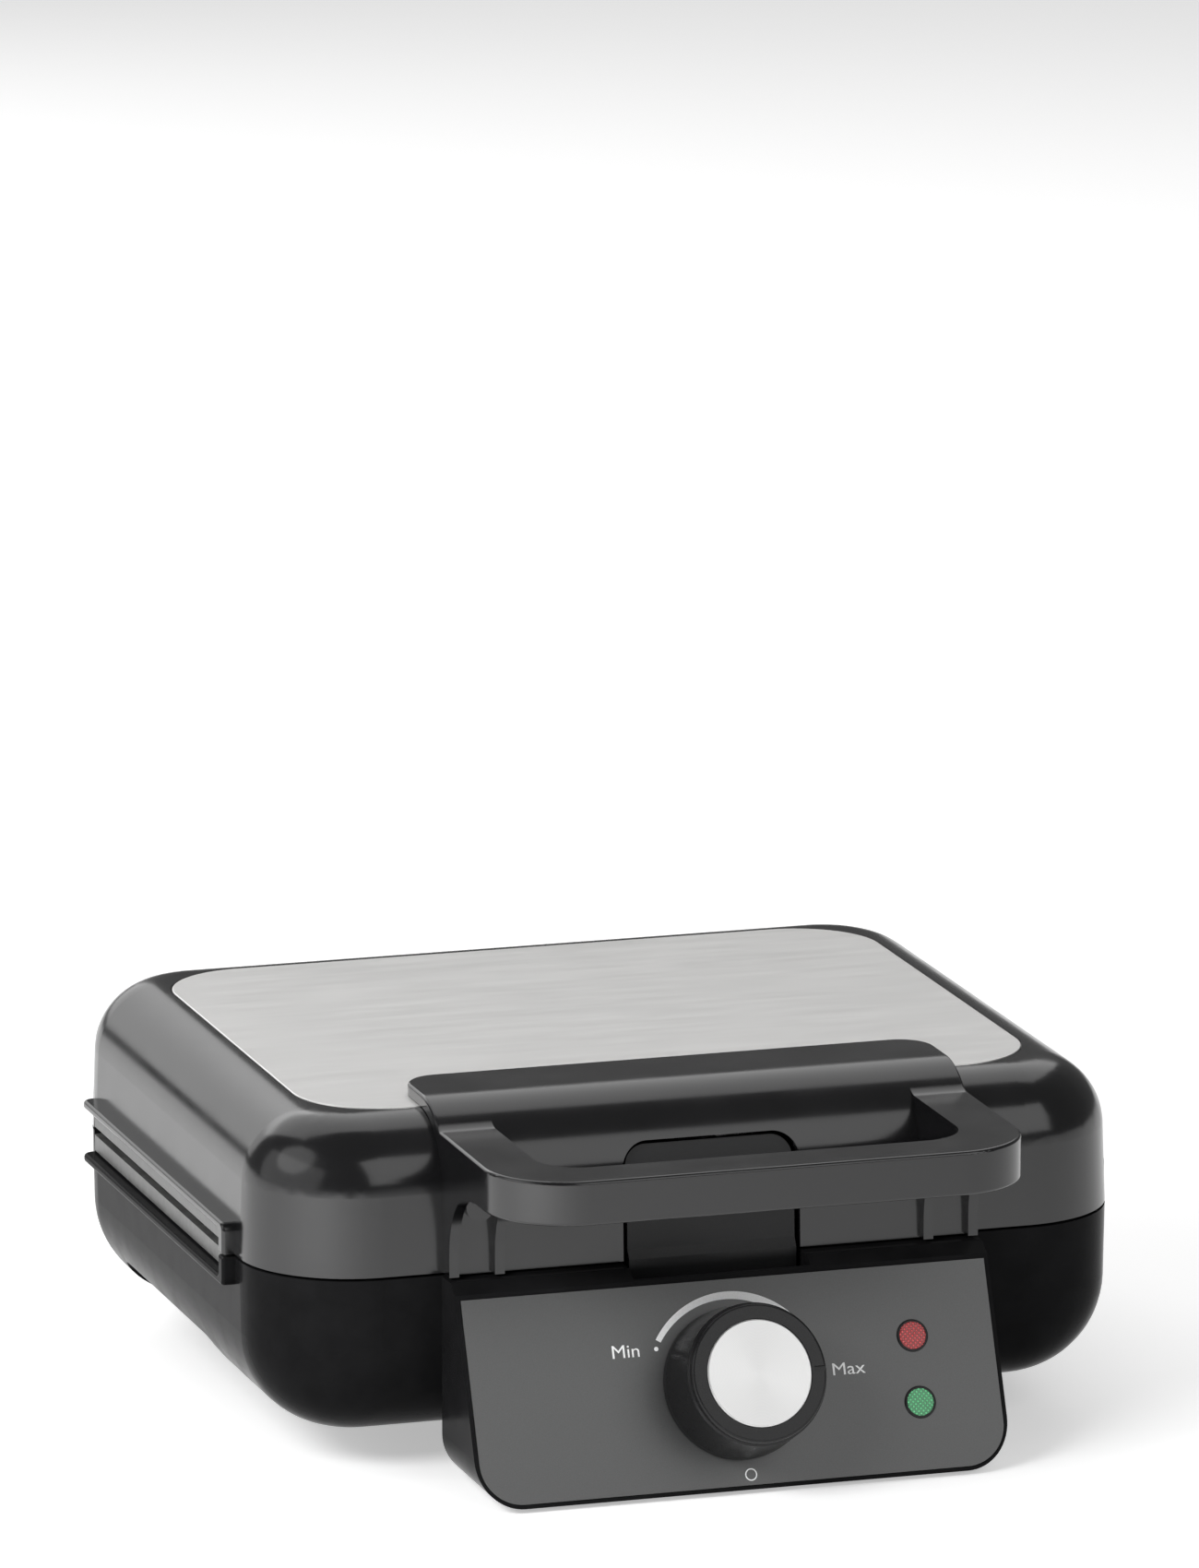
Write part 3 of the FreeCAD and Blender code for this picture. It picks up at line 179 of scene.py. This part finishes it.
# Spun aluminium cap: rings about the dial's axis, each ring a little brighter or duller
capSpin = {"name": "capSpin", "color": (0.74, 0.74, 0.736), "metal": 1.0, "rough": (0.36, 0.46),
           "tint": (0.95, 1.03), "spread": (0.1, 0.9), "bump": 0.05, "depth": 0.00003, "aniso": 0.55,
           "rings": 900.0, "waver": 1.5, "detail": 3.0, "turn": panelTurn,
           "shift": panelShift(0.0, dialHeight)}


def spun(look):
    material, tree, shader, mapping = newFinish(look)
    wave = addNode(tree, "ShaderNodeTexWave", wave_type="RINGS", rings_direction="Z")
    wave.inputs["Scale"].default_value = look["rings"]
    wave.inputs["Distortion"].default_value = look["waver"]
    wave.inputs["Detail"].default_value = look["detail"]
    tree.links.new(mapping.outputs["Vector"], wave.inputs["Vector"])
    ring = wave.outputs["Fac"]
    around = addNode(tree, "ShaderNodeTangent", direction_type="RADIAL", axis="Y")
    tree.links.new(around.outputs["Tangent"], shader.inputs["Tangent"])
    tinted(tree, ring, look, shader)
    roughened(tree, ring, look, shader)
    bumped(tree, ring, look, shader)
    return material


dress(spun(capSpin), "dial_cap")

# Lamp lenses: a small diamond pattern, two sets of bands at right angles
redLens = {"name": "redLens", "color": (0.68, 0.085, 0.09), "rough": (0.16, 0.3), "tint": (0.45, 1.35),
           "spread": (0.15, 0.9), "bump": 0.7, "depth": 0.00025, "bands": 330.0, "coat": 0.25,
           "coatRough": 0.2, "turn": (panelTurn[0], 0.0, math.radians(45.0))}
greenLens = dict(redLens, name="greenLens", color=(0.15, 0.62, 0.28))


def faceted(look):
    material, tree, shader, mapping = newFinish(look)
    bands = []
    for direction in ("X", "Y"):
        wave = addNode(tree, "ShaderNodeTexWave", wave_type="BANDS", bands_direction=direction)
        wave.inputs["Scale"].default_value = look["bands"]
        tree.links.new(mapping.outputs["Vector"], wave.inputs["Vector"])
        bands.append(wave.outputs["Fac"])
    facet = addNode(tree, "ShaderNodeMath", operation="MULTIPLY")
    tree.links.new(bands[0], facet.inputs[0])
    tree.links.new(bands[1], facet.inputs[1])
    tinted(tree, facet.outputs["Value"], look, shader)
    roughened(tree, facet.outputs["Value"], look, shader)
    bumped(tree, facet.outputs["Value"], look, shader)
    return material


dress(faceted(redLens), "red_lamp_lens")
dress(faceted(greenLens), "green_lamp_lens")

# Cast waffle plates: sand-cast grey with a release coat
castGrey = {"name": "castGrey", "color": (0.21, 0.21, 0.208), "metal": 0.7, "rough": (0.38, 0.55),
            "grain": 420.0, "bump": 0.25, "depth": 0.00012, "tint": (0.75, 1.25), "detail": 6.0}
dress(grained(castGrey), "lower_waffle_plate", "upper_waffle_plate")

pinSteel = {"name": "pinSteel", "color": (0.56, 0.56, 0.56), "metal": 1.0, "rough": (0.22, 0.34),
            "grain": 1600.0, "stretch": (0.1, 1.0, 1.0), "bump": 0.05, "depth": 0.00003}
dress(grained(pinSteel), "hinge_pin_left", "hinge_pin_right", "latch_pin", "thermostat_spindle")
springSteel = dict(pinSteel, name="springSteel", color=(0.4, 0.4, 0.42), stretch=(1.0, 1.0, 0.08))
dress(grained(springSteel), "latch_spring")

# Leaf spring, seated on the lid with its tip on the latch: a baked copy of the latch spring's mesh stands in
# for it, and the latch spring itself is hidden
springLeaf = {"name": "latch_spring_leaf", "strip": 0.0005, "slot": "spring_steel"}
leaf = bpy.data.objects.new(springLeaf["name"], nodes["latch_spring"].data.copy())
scene.collection.objects.link(leaf)
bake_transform(leaf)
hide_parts("latch_spring")

screwZinc = dict(pinSteel, name="screwZinc", color=(0.6, 0.6, 0.57), grain=700.0, stretch=(1.0, 1.0, 1.0))
dress(grained(screwZinc), "handle_screws", "housing_screws", "upper_plate_screws", "lower_plate_screws")

# Heater tubes, dulled and browned by heat in patches
heaterTube = {"name": "heaterTube", "color": (0.27, 0.24, 0.21), "metal": 0.9, "rough": (0.35, 0.6),
              "grain": 160.0, "tint": (0.6, 1.3), "bump": 0.1, "detail": 6.0}
dress(grained(heaterTube), "upper_heating_element", "lower_heating_element")
traySheet = {"name": "traySheet", "color": (0.74, 0.74, 0.75), "metal": 1.0, "rough": (0.16, 0.3),
             "grain": 45.0, "bump": 0.12, "depth": 0.0004}
dress(grained(traySheet), "upper_heat_reflector", "lower_heat_reflector")

footRubber = {"name": "footRubber", "color": (0.018, 0.018, 0.018), "rough": (0.62, 0.8), "grain": 1100.0,
              "bump": 0.2, "depth": 0.00008}
dress(grained(footRubber), "foot_front_left", "foot_front_right", "foot_rear_left", "foot_rear_right",
      "cord_gland")
thermostatCase = {"name": "thermostatCase", "color": (0.07, 0.042, 0.028), "rough": (0.35, 0.5),
                  "grain": 500.0, "bump": 0.15}
dress(grained(thermostatCase), "thermostat")
firedClay = {"name": "firedClay", "color": (0.76, 0.73, 0.66), "rough": (0.35, 0.55), "grain": 380.0,
             "bump": 0.12}
dress(grained(firedClay), "terminal_block", "thermal_fuse")
leadSleeve = {"name": "leadSleeve", "color": (0.4, 0.06, 0.035), "rough": (0.45, 0.6), "grain": 900.0,
              "bump": 0.15}
dress(grained(leadSleeve), "thermostat_lead")
bulbGlass = {"name": "bulbGlass", "color": (0.92, 0.88, 0.82), "rough": (0.03, 0.07), "grain": 220.0,
             "clear": 0.85, "tint": (0.96, 1.0), "bump": 0.02}
dress(grained(bulbGlass), "lamp_bulbs")
print("stage: finishes on the parts")


def onPanel(u, v, lift):
    # A point of the panel plane from its lower middle: u across, v up the slope, lift outwards.
    u, v, lift = np.broadcast_arrays(np.asarray(u, float), np.asarray(v, float), np.asarray(lift, float))
    across = np.stack((u, np.zeros_like(u), np.zeros_like(u)), -1)
    return panelFoot + across + v[..., None] * panelUp + lift[..., None] * panelOut


def gridFaces(rows, columns, closed):
    # Quads of a grid of points; closed joins the last row to the first.
    index = np.arange(rows * columns).reshape(rows, columns)
    if closed:
        index = np.concatenate((index, index[:1]))
    quads = (index[:-1, :-1], index[:-1, 1:], index[1:, 1:], index[1:, :-1])
    return np.stack(quads, -1).reshape(-1, 4)


def addPiece(name, points, faces, material, body):
    mesh = bpy.data.meshes.new(name)
    mesh.from_pydata(points.reshape(-1, 3).tolist(), [], faces.tolist())
    mesh.shade_smooth()
    mesh.materials.append(material)
    piece = bpy.data.objects.new(name, mesh)
    scene.collection.objects.link(piece)
    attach(piece, body)


panelInk = {"name": "panelInk", "color": (0.93, 0.935, 0.935), "rough": (0.42, 0.55), "grain": 2400.0,
            "tint": (0.95, 1.04), "bump": 0.03, "depth": 0.00002}
ink = grained(panelInk)
inkLift = 0.00005

# Heat wedge: an arc about the dial whose width grows evenly from the low end to the high end
heatWedge = {"outer": 0.0256, "start": 147.0, "stop": 24.0, "thin": 0.0016, "thick": 0.0027, "steps": 73}
sweep = np.linspace(0.0, 1.0, heatWedge["steps"])[:, None]
angle = np.radians(heatWedge["start"] + (heatWedge["stop"] - heatWedge["start"]) * sweep)
width = heatWedge["thin"] + (heatWedge["thick"] - heatWedge["thin"]) * sweep
radius = heatWedge["outer"] - width * np.array([[0.0, 1.0]])
wedge = onPanel(radius * np.cos(angle), dialHeight + radius * np.sin(angle), inkLift)
addPiece("heat_wedge_print", wedge, gridFaces(heatWedge["steps"], 2, False), ink, "base")

# Off ring and low-heat dot, placed on the panel by u and v
ringSteps = 48
offMark = {"u": 0.0012, "v": 0.0029, "inner": 0.00138, "outer": 0.00172}
lowHeatDot = {"u": -0.0216, "v": dialHeight + 0.0114, "inner": 0.00002, "outer": 0.00062}


def printRing(name, mark):
    # Flat ring: radius from inner to outer, angle once round.
    turn = np.linspace(0.0, 2 * math.pi, ringSteps, endpoint=False)[:, None]
    reach = np.array([[mark["outer"], mark["inner"]]])
    ring = onPanel(mark["u"] + reach * np.cos(turn), mark["v"] + reach * np.sin(turn), inkLift)
    addPiece(name, ring, gridFaces(ringSteps, 2, True), ink, "base")


printRing("off_mark_print", offMark)
printRing("low_heat_dot_print", lowHeatDot)

# Capital height of the built-in lettering, as a share of its size
capitalShare = 0.7
lowHeatWord = {"word": "Min", "u": -0.0304, "v": dialHeight + 0.0097, "height": 0.0036, "stretch": 1.1}
highHeatWord = {"word": "Max", "u": 0.0325, "v": dialHeight + 0.0001, "height": 0.0034, "stretch": 1.18}


def printWord(name, legend):
    # Plain lettering made a flat mesh, then laid on the panel plane.
    curve = bpy.data.curves.new(name, "FONT")
    curve.body = legend["word"]
    curve.size = legend["height"] / capitalShare
    curve.align_x = "CENTER"
    draft = bpy.data.objects.new(name + "_draft", curve)
    scene.collection.objects.link(draft)
    bpy.context.view_layer.update()
    mesh = bpy.data.meshes.new_from_object(draft)
    bpy.data.objects.remove(draft)
    mesh.name = name
    flat = np.empty(len(mesh.vertices) * 3)
    mesh.vertices.foreach_get("co", flat)
    flat = flat.reshape(-1, 3)
    laid = onPanel(legend["u"] + flat[:, 0] * legend["stretch"], legend["v"] + flat[:, 1], inkLift)
    mesh.vertices.foreach_set("co", laid.ravel())
    mesh.materials.clear()
    mesh.materials.append(ink)
    piece = bpy.data.objects.new(name, mesh)
    scene.collection.objects.link(piece)
    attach(piece, "base")


printWord("low_heat_word_print", lowHeatWord)
printWord("high_heat_word_print", highHeatWord)

# Lamp bezels: a half-round bead carried once round each lens
lampBezel = {"side": 0.052, "rise": 0.00925, "radius": 0.00405, "bead": 0.00048, "steps": 64, "arc": 9}
bezelFinish = grained(dict(knobSatin, name="bezelSatin"))


def lampRing(name, v):
    turn = np.linspace(0.0, 2 * math.pi, lampBezel["steps"], endpoint=False)[:, None]
    tilt = np.linspace(math.pi, 0.0, lampBezel["arc"])[None, :]
    reach = lampBezel["radius"] + lampBezel["bead"] * np.cos(tilt)
    lift = lampBezel["bead"] * np.sin(tilt) * np.ones_like(turn)
    ring = onPanel(lampBezel["side"] + reach * np.cos(turn), v + reach * np.sin(turn), lift)
    faces = gridFaces(lampBezel["steps"], lampBezel["arc"], True)[:, ::-1]
    addPiece(name, ring, faces, bezelFinish, "base")


lampRing("red_lamp_bezel", dialHeight + lampBezel["rise"])
lampRing("green_lamp_bezel", dialHeight - lampBezel["rise"])
print("stage: panel print and bezels")

# Studio floor: matt white that the camera and reflections see as a lit sweep
floorLook = {"name": "paleFloor", "half": 7.0, "white": 0.9, "sweep": 0.44}
paleFloor = bpy.data.materials.new(floorLook["name"])
paleFloor.use_nodes = True
floorTree = paleFloor.node_tree
floorTree.nodes.clear()
floorDiffuse = addNode(floorTree, "ShaderNodeBsdfDiffuse")
floorDiffuse.inputs["Color"].default_value = (floorLook["white"],) * 3 + (1.0,)
floorGlow = addNode(floorTree, "ShaderNodeEmission")
lightPath = addNode(floorTree, "ShaderNodeLightPath")
seenBy = lightPath.outputs["Is Camera Ray"]
for ray in ("Is Glossy Ray", "Is Transmission Ray"):
    either = addNode(floorTree, "ShaderNodeMath", operation="MAXIMUM")
    floorTree.links.new(seenBy, either.inputs[0])
    floorTree.links.new(lightPath.outputs[ray], either.inputs[1])
    seenBy = either.outputs["Value"]
glowLevel = addNode(floorTree, "ShaderNodeMath", operation="MULTIPLY")
glowLevel.inputs[1].default_value = floorLook["sweep"]
floorTree.links.new(seenBy, glowLevel.inputs[0])
floorTree.links.new(glowLevel.outputs["Value"], floorGlow.inputs["Strength"])
floorSum = addNode(floorTree, "ShaderNodeAddShader")
floorTree.links.new(floorDiffuse.outputs["BSDF"], floorSum.inputs[0])
floorTree.links.new(floorGlow.outputs["Emission"], floorSum.inputs[1])
floorOut = addNode(floorTree, "ShaderNodeOutputMaterial")
floorTree.links.new(floorSum.outputs["Shader"], floorOut.inputs["Surface"])
half = floorLook["half"]
floorMesh = bpy.data.meshes.new("floor")
floorCorners = [(-half, -half, 0), (half, -half, 0), (half, half, 0), (-half, half, 0)]
floorMesh.from_pydata(floorCorners, [], [(0, 1, 2, 3)])
floorMesh.materials.append(paleFloor)
floor = bpy.data.objects.new("floor", floorMesh)
scene.collection.objects.link(floor)

studio = {"fill": 0.16}
world = bpy.data.worlds.new("studio")
scene.world = world
world.use_nodes = True
world.node_tree.nodes["Background"].inputs["Color"].default_value = (1.0, 1.0, 1.0, 1.0)
world.node_tree.nodes["Background"].inputs["Strength"].default_value = studio["fill"]

# Soft lamps, wide and low in power so that the steel keeps its shade; floorWash lights the floor at the left
partMiddle = (0.0, 0.0, 0.06)
lamps = {
    "overheadBox": {"place": (0.1, 1.2, 1.6), "size": (2.6, 2.0), "power": 20.0},
    "leftWall": {"place": (-1.35, -0.15, 0.5), "size": (1.9, 0.9), "power": 3.6},
    "leftGlow": {"place": (-1.11, -0.1, 0.83), "size": (0.9, 0.9), "power": 2.2, "shape": "DISK"},
    "leftSpot": {"place": (-1.11, -0.1, 0.83), "size": (0.45, 0.45), "power": 1.8, "shape": "DISK"},
    "keyBox": {"place": (0.75, -1.65, 1.08), "size": (1.6, 1.5), "power": 10.5},
    "sweepBox": {"place": (-0.5, 2.05, 0.8), "size": (1.6, 1.2), "power": 7.0},
    "floorWash": {"place": (-0.55, -0.45, 0.45), "size": (0.35, 0.35), "power": 5.0, "shape": "DISK",
                  "aim": (-0.52, -0.43, 0.0), "mirrored": False},
}


def addLamp(name, look):
    lamp = bpy.data.lights.new(name, "AREA")
    lamp.shape = look.get("shape", "RECTANGLE")
    lamp.size, lamp.size_y = look["size"]
    lamp.energy = look["power"]
    holder = bpy.data.objects.new(name, lamp)
    holder.location = look["place"]
    facing = Vector(look.get("aim", partMiddle)) - Vector(look["place"])
    holder.rotation_euler = facing.to_track_quat("-Z", "Y").to_euler()
    holder.visible_glossy = look.get("mirrored", True)
    scene.collection.objects.link(holder)


for lampName, lampLook in lamps.items():
    addLamp(lampName, lampLook)

# Camera at the photograph's angle, fitted to the object's edges, without shift
photoView = {"turn": -17.5093, "rise": 12.7399, "distance": 3.48245, "target": (0.0, 0.01755, 0.169925),
             "focal": 13472.3, "frameHeight": 1700.0, "sensor": 36.0, "reach": 60.0}
turn, rise = math.radians(photoView["turn"]), math.radians(photoView["rise"])
back = Vector((math.sin(turn) * math.cos(rise), -math.cos(turn) * math.cos(rise), math.sin(rise)))
cameraData = bpy.data.cameras.new("camera")
cameraData.sensor_fit = "VERTICAL"
cameraData.sensor_height = photoView["sensor"]
cameraData.lens = photoView["focal"] * photoView["sensor"] / photoView["frameHeight"]
cameraData.clip_end = photoView["reach"]
camera = bpy.data.objects.new("camera", cameraData)
camera.location = Vector(photoView["target"]) + back * photoView["distance"]
camera.rotation_euler = back.to_track_quat("Z", "Y").to_euler()
scene.collection.objects.link(camera)
scene.camera = camera
scene.view_settings.view_transform = "Standard"
print("stage: studio and camera")
